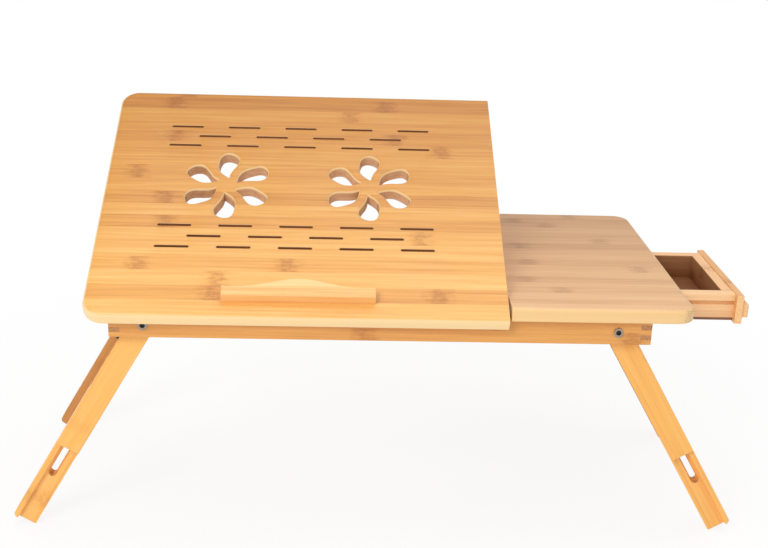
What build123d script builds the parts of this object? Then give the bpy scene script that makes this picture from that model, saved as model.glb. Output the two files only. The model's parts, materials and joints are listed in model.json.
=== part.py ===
from build123d import *
import math
import os

# Bamboo laptop stand: a flat top and a tilting top on a box-jointed frame,
# four folding legs of adjustable length, and a side drawer.
# Millimetres. X runs along the stand, Y to the back, Z up. The origin is on the floor,
# below the middle of the whole stand, drawer open and top tilted.

# ---- driving dimensions ----

# tops
overall_width = 550.0
top_depth = 300.0
fixed_top_width = 168.0
seam_gap = 2.0
top_thickness = 13.0
top_corner_radius = 18.0
top_edge_round = 4.5
under_edge_round = 1.5
rest_gap = 0.3

# frame
board = 10.0
frame_height = 24.0
frame_left_inset = 22.0
frame_length = 489.6
frame_front_inset = 8.7
frame_depth = 244.0
finger_count = 5
board_edge_round = 0.8

# legs
splay = 30.4
leg_width = 22.8
upper_leg_length = 151.0
upper_leg_thickness = 8.0
lower_leg_top = 86.0
foot_end = 243.0
web_thickness = 10.0
lip_width = 5.0
lip_height = 4.5
lip_end_gap = 1.0
slot_top = 97.0
slot_bottom = 185.0
slot_width = 5.6
slot_groove_width = 8.0
slot_groove_depth = 6.0
foot_outer_round = 4.5
foot_inner_round = 1.0
leg_edge_round = 0.7
leg_gap = 0.3

# leg fasteners
bolt_diameter = 5.0
bolt_head_diameter = 8.5
bolt_head_height = 1.5
bolt_socket_width = 3.6
bolt_socket_depth = 1.0
nut_width = 8.0
nut_height = 3.0
running_fit = 0.08
glue_fit = 0.04
clamp_station = 113.0
insert_diameter = 9.0
insert_length = 6.5
knob_radius = 7.5
knob_length = 8.0
knob_collar_diameter = 10.0
knob_collar_length = 2.5
knob_lobes = 6
knob_lobe_radius = 2.2
stud_end_gap = 0.5

# vent pattern of the tilting top
pattern_centre_x = 186.0
pattern_centre_y = 165.4
slot_length = 32.0
vent_slot_width = 3.0
vent_pitch = 57.1
vent_row_pitch = 13.6
vent_rows = (5, 4, 5)
vent_group_offset = 68.4
flower_spacing = 138.4
petal_count = 6
petal_tip = 12.0
petal_reach = 41.5
petal_width = 23.5
petal_tip_round = 1.3

# book ledge
ledge_length = 138.0
ledge_centre_x = 191.5
ledge_inset = 17.7
ledge_height = 9.2
ledge_end_depth = 11.0
ledge_middle_depth = 21.0
ledge_flat = 9.0
ledge_edge_round = 0.8

# tilt hinge
rest_tilt = 29.5
most_tilt = 35.5
hinge_drop = 3.0
hinge_length = 30.0
hinge_from_left = 95.0
hinge_from_right = 60.0
knuckle_radius = 1.7
end_knuckle_length = 8.0
leaf_thickness = 1.2
frame_leaf_reach = 9.0
panel_leaf_reach = 13.0
hinge_pin_diameter = 1.8
hinge_gap = 0.3

# prop under the tilting top
prop_station = 170.0
prop_drop = 8.0
prop_length = 110.0
prop_ratio = 0.732
prop_arm_width = 10.0
prop_arm_height = 9.0
prop_arm_inset = 14.0
foot_bar_radius = 2.5
prop_pin_diameter = 4.0
bracket_width = 12.0
bracket_length = 18.0
bracket_below_pin = 5.0
rack_width = 10.0
rack_front_margin = 5.0
rack_back_margin = 4.0
rack_step_count = 18
rack_stops = (12.0, 18.0, 24.0, 29.5, 35.5)
notch_depth = 1.0

# cross rail
cross_rail_inset = 1.0
cross_rail_end_gap = 0.7

# drawer
drawer_travel = 99.7
drawer_box_width = 127.0
drawer_centre_y = 151.0
drawer_side_gap = 0.5
drawer_back_gap = 1.8
drawer_top_gap = 2.0
drawer_side_thickness = 11.0
drawer_side_height = 24.2
drawer_bottom_thickness = 2.7
drawer_front_thickness = 10.6
drawer_back_thickness = 8.0
groove_from_top = 6.9
groove_height = 4.2
groove_depth = 4.0
runner_thickness = 8.5
tongue_gap = 0.3
face_thickness = 7.1
face_side_overhang = 7.0
face_top_rise = 0.8
face_bottom_drop = 1.1
pull_thickness = 6.7
pull_height = 15.5
pull_from_top = 7.7
pull_end_inset = 3.0
pull_bevel = 3.0

# ---- places worked out from the sizes ----

splay_angle = math.radians(splay)
tilt_angle = math.radians(rest_tilt)
most_tilt_angle = math.radians(most_tilt)
half_leg = leg_width / 2
panel_width = overall_width - fixed_top_width - seam_gap
panel_thickness = top_thickness - rest_gap
frame_mid_height = frame_height / 2

# the side rail's lower inner edge stops the opened leg
pivot_from_rail = frame_mid_height * math.tan(splay_angle) + half_leg / math.cos(splay_angle) + leg_gap
pivot_from_end = board + pivot_from_rail

# how far the foot reaches out from its pivot, and how far down
foot_reach = (
    (foot_end - foot_outer_round) * math.sin(splay_angle)
    + (half_leg - foot_outer_round) * math.cos(splay_angle)
    + foot_outer_round
)
foot_drop = (
    (foot_end - foot_inner_round) * math.cos(splay_angle)
    + (half_leg - foot_inner_round) * math.sin(splay_angle)
    + foot_inner_round
)

# the stand's middle: from the left foot to the drawer's pull, from the tilted edge to the back
drawer_reach = frame_left_inset + frame_length + rest_gap + drawer_travel + face_thickness + pull_thickness
left_reach = foot_reach - frame_left_inset - pivot_from_end
left = -(drawer_reach - left_reach) / 2
# the hinge knuckles stand flush with the front apron's inner face
hinge_inset = frame_front_inset + board - knuckle_radius
tilted_lip = (
    hinge_inset
    - (hinge_inset - top_edge_round) * math.cos(tilt_angle)
    - (top_thickness + hinge_drop - top_edge_round) * math.sin(tilt_angle)
    - top_edge_round
)
front = -(top_depth + tilted_lip) / 2

pivot_z = foot_drop
frame_bottom = pivot_z - frame_mid_height
frame_top = pivot_z + frame_mid_height
top_z = frame_top + top_thickness
right = left + overall_width
back = front + top_depth
seam_x = left + panel_width + seam_gap

frame_left = left + frame_left_inset
frame_right = frame_left + frame_length
frame_front = front + frame_front_inset
frame_back = frame_front + frame_depth
frame_mid_x = (frame_left + frame_right) / 2
frame_mid_y = (frame_front + frame_back) / 2
finger_height = frame_height / finger_count

pivot_x = frame_left + pivot_from_end
leg_front_y = frame_front + board + leg_gap
leg_back_y = leg_front_y + upper_leg_thickness + leg_gap + web_thickness
web_front = upper_leg_thickness + leg_gap
leg_retract = slot_bottom - clamp_station
lip_recess_top = lower_leg_top - leg_retract - lip_end_gap
leg_along = Vector(-math.sin(splay_angle), 0, -math.cos(splay_angle))

hinge_y = front + hinge_inset
hinge_z = frame_top - hinge_drop
hinge_centres = (left + hinge_from_left, left + panel_width - hinge_from_right)
under_panel = hinge_drop + rest_gap

cross_rail_left = seam_x + cross_rail_inset
cross_rail_right = cross_rail_left + board

drawer_front_y = front + drawer_centre_y - drawer_box_width / 2
drawer_back_y = front + drawer_centre_y + drawer_box_width / 2
drawer_left = cross_rail_right + drawer_back_gap + drawer_travel
drawer_right = frame_right + rest_gap + drawer_travel
drawer_top = frame_top - drawer_top_gap
drawer_side_bottom = drawer_top - drawer_side_height
drawer_bottom = drawer_side_bottom - drawer_bottom_thickness
groove_top = drawer_top - groove_from_top
groove_bottom = groove_top - groove_height
runner_inner_front = drawer_front_y - drawer_side_gap
runner_inner_back = drawer_back_y + drawer_side_gap

# planes of the tilted top: local X along the stand, local Y up the slope from the hinge axis
panel_normal = Vector(0, -math.sin(tilt_angle), math.cos(tilt_angle))
panel_slope = Vector(0, math.cos(tilt_angle), math.sin(tilt_angle))
hinge_plane = Plane(origin=(left, hinge_y, hinge_z), x_dir=(1, 0, 0), z_dir=panel_normal)
panel_under = hinge_plane.offset(under_panel)
panel_upper = panel_under.offset(panel_thickness)
panel_upward = Axis((left, hinge_y, hinge_z), panel_normal)

# the leg's plane: local X down the leg from its pivot, local Y to its outer edge
leg_plane = Plane(origin=(pivot_x, leg_front_y, pivot_z), x_dir=leg_along, z_dir=(0, 1, 0))


def box_between(low, high):
    """A plain board between its lowest and its highest corner."""
    with BuildPart() as plain:
        with BuildSketch(Plane.XY.offset(low[2])):
            with Locations(((low[0] + high[0]) / 2, (low[1] + high[1]) / 2)):
                Rectangle(high[0] - low[0], high[1] - low[1])
        extrude(amount=high[2] - low[2])
    return plain.part


def rod(centre, direction, radius, length):
    """A round bar that starts at a centre and runs along a direction."""
    with BuildPart() as bar:
        with BuildSketch(Plane(origin=centre, z_dir=direction)):
            Circle(radius)
        extrude(amount=length)
    return bar.part


def layer_bottom(layer):
    """Height of a box-joint finger, counted from 0 at the bottom of the frame."""
    return frame_bottom + layer * finger_height


def corner_fingers(x_low, y_low, layers):
    """The finger layers of one box-joint corner, each as large as the corner."""
    with BuildPart() as fingers:
        for layer in layers:
            z_low = layer_bottom(layer)
            add(box_between((x_low, y_low, z_low), (x_low + board, y_low + board, z_low + finger_height)))
    return fingers.part


def finish(built, name):
    """Labels a finished piece and writes it."""
    built.part.label = name
    export_step(built.part, f"parts/{name}.step")


os.makedirs("parts", exist_ok=True)

# ---- frame: box-jointed boards under the tops ----

rail_layers = range(1, finger_count, 2)
apron_layers = range(0, finger_count, 2)
end_corners = (frame_left, frame_right - board)
bolt_places = (pivot_x, 2 * frame_mid_x - pivot_x)
inner_face_y = frame_front + board
knuckle_room = knuckle_radius + hinge_gap
neck_swing = under_panel * math.sin(most_tilt_angle) + leaf_thickness / 2 + hinge_gap
frame_leaf_low = hinge_z - frame_leaf_reach

# the wedge that the front apron and the left rail lose, so that the top can tilt
with BuildPart() as bevel:
    with BuildSketch(Plane.YZ.offset(left)):
        with BuildLine():
            bevel_width = hinge_y - frame_front
            Polyline(
                (frame_front, frame_top),
                (hinge_y, frame_top),
                (frame_front, frame_top - bevel_width * math.tan(most_tilt_angle)),
                close=True,
            )
        make_face()
    extrude(amount=panel_width + seam_gap / 2)
tilt_bevel = bevel.part

with BuildPart() as front_apron:
    add(box_between((frame_left, frame_front, frame_bottom), (frame_right, frame_front + board, frame_top)))
    fillet(front_apron.edges().filter_by(Axis.X).sort_by(Axis.Z)[:2], board_edge_round)
    for x in end_corners:
        add(corner_fingers(x, frame_front, rail_layers), mode=Mode.SUBTRACT)
    add(tilt_bevel, mode=Mode.SUBTRACT)
    # seats of the hinges, open to the inner face
    for x in hinge_centres:
        x_low = x - hinge_length / 2
        x_high = x + hinge_length / 2
        add(
            box_between(
                (x_low - hinge_gap, hinge_y - neck_swing, hinge_z - knuckle_room),
                (x_high + hinge_gap, inner_face_y, frame_top),
            ),
            mode=Mode.SUBTRACT,
        )
        add(
            box_between(
                (x_low, inner_face_y - leaf_thickness, frame_leaf_low),
                (x_high, inner_face_y, hinge_z),
            ),
            mode=Mode.SUBTRACT,
        )
    with BuildSketch(Plane.XZ.offset(-frame_front)):
        with Locations(*[(x, pivot_z) for x in bolt_places]):
            Circle(bolt_diameter / 2 + glue_fit)
    extrude(amount=-board, mode=Mode.SUBTRACT)
finish(front_apron, "front_apron")

with BuildPart() as rear_apron:
    add(box_between((frame_left, frame_back - board, frame_bottom), (frame_right, frame_back, frame_top)))
    fillet(rear_apron.edges().filter_by(Axis.X).sort_by(Axis.Z)[:2], board_edge_round)
    for x in end_corners:
        add(corner_fingers(x, frame_back - board, rail_layers), mode=Mode.SUBTRACT)
    with BuildSketch(Plane.XZ.offset(-frame_back)):
        with Locations(*[(x, pivot_z) for x in bolt_places]):
            Circle(bolt_diameter / 2 + glue_fit)
    extrude(amount=board, mode=Mode.SUBTRACT)
finish(rear_apron, "rear_apron")

rails = {
    "left_rail": (frame_left, frame_front, frame_back, (frame_front, frame_back - board)),
    "right_rail_front": (
        frame_right - board,
        frame_front,
        runner_inner_front - runner_thickness,
        (frame_front,),
    ),
    "right_rail_rear": (
        frame_right - board,
        runner_inner_back + runner_thickness,
        frame_back,
        (frame_back - board,),
    ),
}
for name, (x_low, y_low, y_high, jointed_corners) in rails.items():
    with BuildPart() as rail:
        add(box_between((x_low, y_low, frame_bottom), (x_low + board, y_high, frame_top)))
        for y in jointed_corners:
            add(corner_fingers(x_low, y, apron_layers), mode=Mode.SUBTRACT)
        add(tilt_bevel, mode=Mode.SUBTRACT)
    finish(rail, name)

fold_room = leg_back_y + cross_rail_end_gap
with BuildPart() as cross_rail:
    add(
        box_between(
            (cross_rail_left, fold_room, frame_bottom),
            (cross_rail_right, 2 * frame_mid_y - fold_room, frame_top),
        )
    )
    fillet(cross_rail.edges().filter_by(Axis.Y).sort_by(Axis.Z)[:2], board_edge_round)
finish(cross_rail, "cross_rail")

with BuildPart() as fixed_top:
    with BuildSketch(Plane.XY.offset(frame_top)):
        with Locations(((seam_x + right) / 2, (front + back) / 2)):
            Rectangle(fixed_top_width, top_depth)
    extrude(amount=top_thickness)
    fillet(fixed_top.edges().filter_by(Axis.Z).group_by(Axis.X)[-1], top_corner_radius)
    upper_rim = fixed_top.edges().group_by(Axis.Z)[-1].sort_by(Axis.X)[1:]
    fillet(upper_rim, top_edge_round)
    lower_rim = fixed_top.edges().group_by(Axis.Z)[0].sort_by(Axis.X)[1:]
    fillet(lower_rim, under_edge_round)
finish(fixed_top, "fixed_top")

# ---- drawer runners: a strip each side with a tongue that fills the drawer's groove ----

tongue_reach = drawer_side_gap + groove_depth - tongue_gap
runners = {
    "runner_front": (runner_inner_front - runner_thickness, runner_inner_front, 1),
    "runner_rear": (runner_inner_back, runner_inner_back + runner_thickness, -1),
}
for name, (y_low, y_high, side) in runners.items():
    inner_face = y_high if side > 0 else y_low
    tongue_tip = inner_face + side * tongue_reach
    with BuildPart() as runner:
        add(box_between((cross_rail_right, y_low, frame_bottom), (frame_right, y_high, frame_top)))
        add(
            box_between(
                (cross_rail_right, min(inner_face, tongue_tip), groove_bottom + tongue_gap),
                (frame_right, max(inner_face, tongue_tip), groove_top - tongue_gap),
            )
        )
    finish(runner, name)

# ---- drawer ----

for name, y_low, outer_face in (
    ("drawer_side_front", drawer_front_y, drawer_front_y),
    ("drawer_side_rear", drawer_back_y - drawer_side_thickness, drawer_back_y - groove_depth),
):
    with BuildPart() as side_board:
        add(
            box_between(
                (drawer_left, y_low, drawer_side_bottom),
                (drawer_right, y_low + drawer_side_thickness, drawer_top),
            )
        )
        fillet(side_board.edges().filter_by(Axis.X).group_by(Axis.Z)[-1], board_edge_round)
        add(
            box_between(
                (drawer_left, outer_face, groove_bottom),
                (drawer_right, outer_face + groove_depth, groove_top),
            ),
            mode=Mode.SUBTRACT,
        )
    finish(side_board, name)

inner_front_y = drawer_front_y + drawer_side_thickness
inner_back_y = drawer_back_y - drawer_side_thickness
for name, x_low, x_high in (
    ("drawer_front", drawer_right - drawer_front_thickness, drawer_right),
    ("drawer_back", drawer_left, drawer_left + drawer_back_thickness),
):
    with BuildPart() as wall:
        add(box_between((x_low, inner_front_y, drawer_side_bottom), (x_high, inner_back_y, drawer_top)))
        fillet(wall.edges().filter_by(Axis.Y).group_by(Axis.Z)[-1], board_edge_round)
    finish(wall, name)

with BuildPart() as drawer_floor:
    add(
        box_between(
            (drawer_left, drawer_front_y, drawer_bottom),
            (drawer_right, drawer_back_y, drawer_side_bottom),
        )
    )
finish(drawer_floor, "drawer_bottom")

face_top = drawer_top + face_top_rise
face_front_y = drawer_front_y - face_side_overhang
face_back_y = drawer_back_y + face_side_overhang
with BuildPart() as drawer_face:
    add(
        box_between(
            (drawer_right, face_front_y, drawer_bottom - face_bottom_drop),
            (drawer_right + face_thickness, face_back_y, face_top),
        )
    )
    fillet(drawer_face.edges().group_by(Axis.X)[-1], board_edge_round)
finish(drawer_face, "drawer_face")

with BuildPart() as drawer_pull:
    pull_top = face_top - pull_from_top
    add(
        box_between(
            (drawer_right + face_thickness, face_front_y + pull_end_inset, pull_top - pull_height),
            (drawer_right + face_thickness + pull_thickness, face_back_y - pull_end_inset, pull_top),
        )
    )
    outer_edges = drawer_pull.edges().group_by(Axis.X)[-1]
    chamfer(outer_edges.filter_by(Axis.Y).sort_by(Axis.Z)[-1], pull_bevel)
    chamfer(drawer_pull.edges().group_by(Axis.X)[-1].filter_by(Axis.Z), pull_bevel / 2)
finish(drawer_pull, "drawer_pull")

# ---- tilting top with vent slots and two flowers ----

leaf_span = panel_leaf_reach + leaf_thickness / 2
leaf_middle = (panel_leaf_reach - leaf_thickness / 2) / 2

with BuildSketch() as petal:
    with BuildLine():
        belly = petal_tip + 0.6 * (petal_reach - petal_tip)
        half_petal = petal_width / 2
        outer_end = ThreePointArc((belly, -half_petal), (petal_reach, 0), (belly, half_petal))
        hollow_side = Bezier(outer_end @ 0, (belly - 6, -half_petal + 1), (petal_tip + 7, -5), (petal_tip, -3))
        full_side = Bezier(outer_end @ 1, (belly - 9, half_petal), (petal_tip + 3, 5), (petal_tip, -3))
    make_face()
    fillet(petal.vertices().sort_by(Axis.X)[0], petal_tip_round)

with BuildPart() as tilt_panel:
    with BuildSketch(panel_under):
        with Locations((panel_width / 2, top_depth / 2 - hinge_inset)):
            Rectangle(panel_width, top_depth)
    extrude(amount=panel_thickness)
    fillet(tilt_panel.edges().filter_by(panel_upward).group_by(Axis.X)[0], top_corner_radius)
    upper_rim = tilt_panel.edges().group_by(panel_upward)[-1].sort_by(Axis.X)[:-1]
    fillet(upper_rim, top_edge_round)
    lower_rim = tilt_panel.edges().group_by(panel_upward)[0].sort_by(Axis.X)[:-1]
    fillet(lower_rim, under_edge_round)
    # vents
    with BuildSketch(panel_under):
        pattern_y = pattern_centre_y - hinge_inset
        middle_row = (len(vent_rows) - 1) / 2
        for group in (-1, 1):
            for row, count in enumerate(vent_rows):
                row_y = pattern_y + group * vent_group_offset + (row - middle_row) * vent_row_pitch
                with Locations((pattern_centre_x, row_y)):
                    with GridLocations(vent_pitch, vent_row_pitch, count, 1):
                        SlotOverall(slot_length, vent_slot_width)
        with Locations((pattern_centre_x, pattern_y)):
            with GridLocations(flower_spacing, petal_reach, 2, 1):
                with PolarLocations(0, petal_count, start_angle=90 - 360 / petal_count):
                    add(petal.sketch)
    extrude(amount=panel_thickness, mode=Mode.SUBTRACT)
    # hinge leaves are let into the underside
    with BuildSketch(panel_under):
        with Locations(*[(x - left, leaf_middle) for x in hinge_centres]):
            Rectangle(hinge_length, leaf_span)
    extrude(amount=leaf_thickness, mode=Mode.SUBTRACT)
finish(tilt_panel, "tilt_panel")

with BuildPart() as book_ledge:
    with BuildSketch(panel_upper):
        with BuildLine():
            ledge_low = ledge_centre_x - ledge_length / 2
            ledge_high = ledge_centre_x + ledge_length / 2
            ledge_front = ledge_inset - hinge_inset
            ledge_rear = ledge_front + ledge_end_depth
            hump_start = (ledge_low + ledge_flat, ledge_rear)
            hump_end = (ledge_high - ledge_flat, ledge_rear)
            Polyline(
                hump_start,
                (ledge_low, ledge_rear),
                (ledge_low, ledge_front),
                (ledge_high, ledge_front),
                (ledge_high, ledge_rear),
                hump_end,
            )
            Spline(
                hump_start,
                (ledge_centre_x, ledge_front + ledge_middle_depth),
                hump_end,
                tangents=((1, 0), (1, 0)),
            )
        make_face()
    extrude(amount=ledge_height)
    fillet(book_ledge.faces().sort_by(panel_upward)[-1].edges(), ledge_edge_round)
finish(book_ledge, "book_ledge")

# ---- tilt hinges: two butt hinges on round pins ----

leaf_root = knuckle_radius + hinge_gap
middle_length = hinge_length - 2 * (end_knuckle_length + hinge_gap)


def knuckle(x_low, length):
    """One hinge knuckle, a plain round barrel on the hinge axis."""
    return rod((x_low, hinge_y, hinge_z), (1, 0, 0), knuckle_radius, length)


with BuildPart() as frame_leaves:
    leaf_face_y = inner_face_y - leaf_thickness
    for x in hinge_centres:
        x_low = x - hinge_length / 2
        add(
            box_between(
                (x_low, leaf_face_y, frame_leaf_low),
                (x_low + hinge_length, inner_face_y, hinge_z - leaf_root),
            )
        )
        for start in (x_low, x_low + hinge_length - end_knuckle_length):
            add(knuckle(start, end_knuckle_length))
            add(
                box_between(
                    (start, leaf_face_y, frame_leaf_low),
                    (start + end_knuckle_length, inner_face_y, hinge_z),
                )
            )
        bore_radius = hinge_pin_diameter / 2 + glue_fit
        add(rod((x_low, hinge_y, hinge_z), (1, 0, 0), bore_radius, hinge_length), mode=Mode.SUBTRACT)
finish(frame_leaves, "hinge_frame_leaves")

with BuildPart() as panel_leaves:
    with BuildSketch(panel_under):
        with Locations(*[(x - left, leaf_middle) for x in hinge_centres]):
            Rectangle(hinge_length, leaf_span)
    extrude(amount=leaf_thickness)
    # the neck that carries the middle knuckle below the leaf
    with BuildSketch(hinge_plane):
        with Locations(*[(x - left, 0) for x in hinge_centres]):
            Rectangle(middle_length, leaf_thickness)
    extrude(amount=under_panel)
    for x in hinge_centres:
        add(knuckle(x - middle_length / 2, middle_length))
    for x in hinge_centres:
        bore_radius = hinge_pin_diameter / 2 + running_fit
        add(
            rod((x - hinge_length / 2, hinge_y, hinge_z), (1, 0, 0), bore_radius, hinge_length),
            mode=Mode.SUBTRACT,
        )
finish(panel_leaves, "hinge_panel_leaves")

with BuildPart() as hinge_pins:
    for x in hinge_centres:
        add(
            rod(
                (x - hinge_length / 2, hinge_y, hinge_z),
                (1, 0, 0),
                hinge_pin_diameter / 2,
                hinge_length,
            )
        )
finish(hinge_pins, "hinge_pins")

# ---- prop: two arms and a foot bar that stands on notched racks ----

prop_pin_drop = under_panel - prop_drop
bar_low = frame_left + board + 1.0
bar_high = cross_rail_left - 1.0
arm_starts = (frame_left + board + prop_arm_inset, cross_rail_left - prop_arm_inset - prop_arm_width)
bracket_starts = (
    arm_starts[0] + prop_arm_width + hinge_gap,
    arm_starts[1] - hinge_gap - bracket_width,
)


def prop_foot(tilt):
    """Where the foot bar's centre is, in Y and Z, at a tilt in degrees."""
    opened = math.radians(tilt)
    arm_slope = opened * (1 + prop_ratio)
    pin_y = hinge_y + prop_station * math.cos(opened) - prop_pin_drop * math.sin(opened)
    pin_z = hinge_z + prop_station * math.sin(opened) + prop_pin_drop * math.cos(opened)
    return (pin_y - prop_length * math.cos(arm_slope), pin_z - prop_length * math.sin(arm_slope))


arm_slope = rest_tilt * (1 + prop_ratio)
foot_y, foot_z = prop_foot(rest_tilt)
arm_direction = Vector(0, -math.cos(math.radians(arm_slope)), -math.sin(math.radians(arm_slope)))
pin_point = Vector(0, foot_y, foot_z) - arm_direction * prop_length

for name, x_low in zip(("prop_arm_left", "prop_arm_right"), arm_starts):
    arm_plane = Plane(origin=pin_point + Vector(x_low, 0, 0), x_dir=arm_direction, z_dir=(1, 0, 0))
    with BuildPart() as prop_arm:
        with BuildSketch(arm_plane):
            with Locations((prop_length / 2, 0)):
                SlotCenterToCenter(prop_length, prop_arm_height)
            Circle(prop_pin_diameter / 2 + running_fit, mode=Mode.SUBTRACT)
            with Locations((prop_length, 0)):
                Circle(foot_bar_radius + glue_fit, mode=Mode.SUBTRACT)
        extrude(amount=prop_arm_width)
    finish(prop_arm, name)

with BuildPart() as foot_bar:
    add(rod((bar_low, foot_y, foot_z), (1, 0, 0), foot_bar_radius, bar_high - bar_low))
finish(foot_bar, "prop_foot_bar")

with BuildPart() as brackets:
    for x_low in bracket_starts:
        bracket_plane = Plane(origin=(x_low, hinge_y, hinge_z), x_dir=panel_slope, z_dir=(1, 0, 0))
        with BuildSketch(bracket_plane):
            bracket_height = prop_drop + bracket_below_pin
            with Locations((prop_station, under_panel - bracket_height / 2)):
                Rectangle(bracket_length, bracket_height)
            with Locations((prop_station, prop_pin_drop)):
                Circle(prop_pin_diameter / 2 + glue_fit, mode=Mode.SUBTRACT)
        extrude(amount=bracket_width)
    fillet(brackets.edges().filter_by(Axis.X).group_by(panel_upward)[0], 2 * board_edge_round)
finish(brackets, "prop_brackets")

with BuildPart() as prop_pins:
    pin_length = bracket_width + hinge_gap + prop_arm_width
    for x_low in (arm_starts[0], bracket_starts[1]):
        add(rod(pin_point + Vector(x_low, 0, 0), (1, 0, 0), prop_pin_diameter / 2, pin_length))
finish(prop_pins, "prop_pins")


def rack_point(tilt):
    """A point of the rack's upper edge: the foot bar's path, set off by its radius and a gap."""
    small = 0.05
    y_low, z_low = prop_foot(tilt - small)
    y_high, z_high = prop_foot(tilt + small)
    run = math.hypot(y_high - y_low, z_high - z_low)
    y, z = prop_foot(tilt)
    room = foot_bar_radius + rest_gap
    return (y + room * (z_high - z_low) / run, z - room * (y_high - y_low) / run)


rack_edge = [rack_point(most_tilt * step / rack_step_count) for step in range(rack_step_count + 1)]
for name, x_low in (("rack_left", frame_left + board), ("rack_right", cross_rail_left - rack_width)):
    with BuildPart() as rack:
        with BuildSketch(Plane.YZ.offset(x_low)):
            with BuildLine():
                rack_front = rack_edge[0][0] - rack_front_margin
                rack_back = rack_edge[-1][0] + rack_back_margin
                Polyline(
                    (rack_front, frame_bottom),
                    (rack_front, rack_edge[0][1]),
                    *rack_edge,
                    (rack_back, rack_edge[-1][1]),
                    (rack_back, frame_bottom),
                    close=True,
                )
            make_face()
            for tilt in rack_stops:
                stop_y, stop_z = prop_foot(tilt)
                with Locations((stop_y, stop_z - notch_depth)):
                    Circle(foot_bar_radius + rest_gap, mode=Mode.SUBTRACT)
        extrude(amount=rack_width)
    finish(rack, name)

# ---- legs: one is built at the front left and mirrored to the other corners ----

with BuildPart() as upper_leg:
    with BuildSketch(leg_plane):
        with Locations((upper_leg_length / 2, 0)):
            Rectangle(upper_leg_length, leg_width)
        Circle(half_leg)
    extrude(amount=upper_leg_thickness)
    fillet(upper_leg.faces().sort_by(Axis.Y)[0].edges(), leg_edge_round)
    # recess for the lower leg's lip
    with BuildSketch(leg_plane.offset(upper_leg_thickness)):
        with Locations((lip_recess_top, half_leg)):
            Rectangle(
                upper_leg_length - lip_recess_top,
                lip_width + leg_gap,
                align=(Align.MIN, Align.MAX),
            )
    extrude(amount=-lip_height, mode=Mode.SUBTRACT)
    with BuildSketch(leg_plane):
        Circle(bolt_diameter / 2 + running_fit)
    extrude(amount=upper_leg_thickness, mode=Mode.SUBTRACT)
    with BuildSketch(leg_plane.offset(upper_leg_thickness)):
        with Locations((clamp_station, 0)):
            Circle(insert_diameter / 2 + glue_fit)
    extrude(amount=-insert_length, mode=Mode.SUBTRACT)

with BuildPart() as lower_leg:
    web_plane = leg_plane.offset(web_front)
    with BuildSketch(web_plane):
        with Locations((lower_leg_top, 0)):
            Rectangle(foot_end - lower_leg_top, leg_width, align=(Align.MIN, Align.CENTER))
    extrude(amount=web_thickness)
    with BuildSketch(web_plane):
        with Locations((lower_leg_top, half_leg)):
            Rectangle(foot_end - lower_leg_top, lip_width, align=(Align.MIN, Align.MAX))
    extrude(amount=-lip_height)
    foot_corners = lower_leg.edges().filter_by(Axis.Y).group_by(Axis(leg_plane.origin, leg_along))[-1]
    fillet(foot_corners.sort_by(Axis.X)[0], foot_outer_round)
    fillet(foot_corners.sort_by(Axis.X)[-1], foot_inner_round)
    # slot for the clamp stud, wider on the side of the upper leg
    slot_middle = (slot_top + slot_bottom) / 2
    with BuildSketch(web_plane):
        with Locations((slot_middle, 0)):
            SlotCenterToCenter(slot_bottom - slot_top, slot_width)
    extrude(amount=web_thickness, mode=Mode.SUBTRACT)
    with BuildSketch(web_plane):
        with Locations((slot_middle, 0)):
            SlotCenterToCenter(slot_bottom - slot_top, slot_groove_width)
    extrude(amount=slot_groove_depth, mode=Mode.SUBTRACT)

insert_depth = upper_leg_thickness - insert_length
with BuildPart() as leg_insert:
    with BuildSketch(leg_plane.offset(insert_depth)):
        with Locations((clamp_station, 0)):
            Circle(insert_diameter / 2)
            Circle(bolt_diameter / 2 + running_fit, mode=Mode.SUBTRACT)
    extrude(amount=insert_length)

knob_start = web_front + web_thickness + leg_gap
stud_start = insert_depth + stud_end_gap
with BuildPart() as clamp_knob:
    with BuildSketch(leg_plane.offset(stud_start)):
        with Locations((clamp_station, 0)):
            Circle(bolt_diameter / 2)
    extrude(amount=knob_start + knob_collar_length - stud_start)
    with BuildSketch(leg_plane.offset(knob_start)):
        with Locations((clamp_station, 0)):
            Circle(knob_collar_diameter / 2)
    extrude(amount=knob_collar_length)
    with BuildSketch(leg_plane.offset(knob_start + knob_collar_length)):
        with Locations((clamp_station, 0)):
            Circle(knob_radius - knob_lobe_radius / 2)
            with PolarLocations(knob_radius - knob_lobe_radius, knob_lobes):
                Circle(knob_lobe_radius)
    extrude(amount=knob_length)
    fillet(clamp_knob.faces().sort_by(Axis.Y)[-1].edges(), board_edge_round)

side_mirror = Plane.YZ.offset(frame_mid_x)
row_mirror = Plane.XZ.offset(-frame_mid_y)
leg_pieces = {
    "upper_leg": upper_leg,
    "lower_leg": lower_leg,
    "leg_insert": leg_insert,
    "clamp_knob": clamp_knob,
}
for base_name, piece in leg_pieces.items():
    for row in ("front", "rear"):
        for side in ("left", "right"):
            placed = piece.part
            if side == "right":
                placed = mirror(placed, about=side_mirror, mode=Mode.PRIVATE)
            if row == "rear":
                placed = mirror(placed, about=row_mirror, mode=Mode.PRIVATE)
            with BuildPart() as corner_piece:
                add(placed)
            finish(corner_piece, f"{base_name}_{row}_{side}")

# ---- leg pivots: socket-head bolts through the aprons, nuts behind the upper legs ----

nut_start = board + leg_gap + upper_leg_thickness + leg_gap
with BuildPart() as corner_bolt:
    outer_plane = Plane(origin=(pivot_x, frame_front, pivot_z), x_dir=(1, 0, 0), z_dir=(0, 1, 0))
    with BuildSketch(outer_plane):
        Circle(bolt_diameter / 2)
    extrude(amount=nut_start + nut_height)
    with BuildSketch(outer_plane):
        Circle(bolt_head_diameter / 2)
    extrude(amount=-bolt_head_height)
    with BuildSketch(outer_plane.offset(-bolt_head_height)):
        RegularPolygon(bolt_socket_width / 2, 6, major_radius=False)
    extrude(amount=bolt_socket_depth, mode=Mode.SUBTRACT)

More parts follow.
